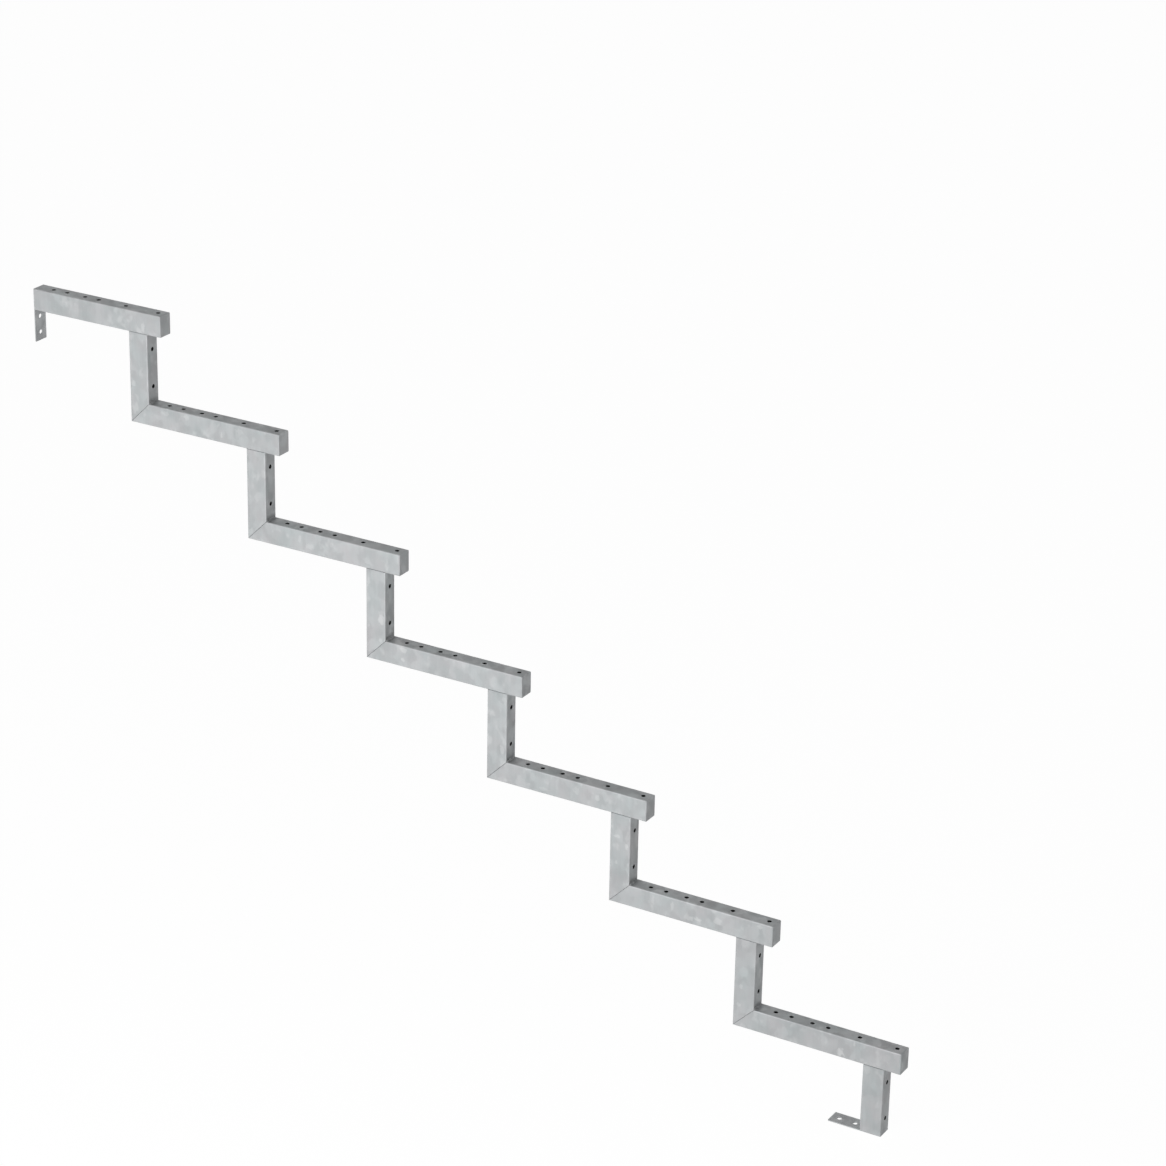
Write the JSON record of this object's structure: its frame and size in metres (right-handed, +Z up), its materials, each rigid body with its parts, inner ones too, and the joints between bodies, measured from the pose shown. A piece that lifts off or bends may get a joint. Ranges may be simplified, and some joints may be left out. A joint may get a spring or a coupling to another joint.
{
  "type": "stair stringer",
  "caption": "Zig-zag stair stringer of welded galvanised rectangular tube with drilled treads and risers for boards, and flat lugs that fix it to a wall and a floor.",
  "frame": {"origin": "on the floor, under the centre of the lowest riser, on the stringer's middle plane", "axes": "+Z up, +X down the stair, so it climbs towards -X, and Y across the tube"},
  "size_m": [1.78, 0.03, 1.19],
  "materials": {
    "galvanised_steel": "satin"
  },
  "bodies": {
    "root": {"wall_plate": "galvanised_steel", "foot_plate": "galvanised_steel", "tread_tube_1": "galvanised_steel", "tread_tube_2": "galvanised_steel", "tread_tube_3": "galvanised_steel", "tread_tube_4": "galvanised_steel", "tread_tube_5": "galvanised_steel", "tread_tube_6": "galvanised_steel", "tread_tube_7": "galvanised_steel", "riser_tube_1": "galvanised_steel", "riser_tube_2": "galvanised_steel", "riser_tube_3": "galvanised_steel", "riser_tube_4": "galvanised_steel", "riser_tube_5": "galvanised_steel", "riser_tube_6": "galvanised_steel", "riser_tube_7": "galvanised_steel", "nose_cap_1": "galvanised_steel", "nose_cap_2": "galvanised_steel", "nose_cap_3": "galvanised_steel", "nose_cap_4": "galvanised_steel", "nose_cap_5": "galvanised_steel", "nose_cap_6": "galvanised_steel", "nose_cap_7": "galvanised_steel"}
  },
  "joints": []
}
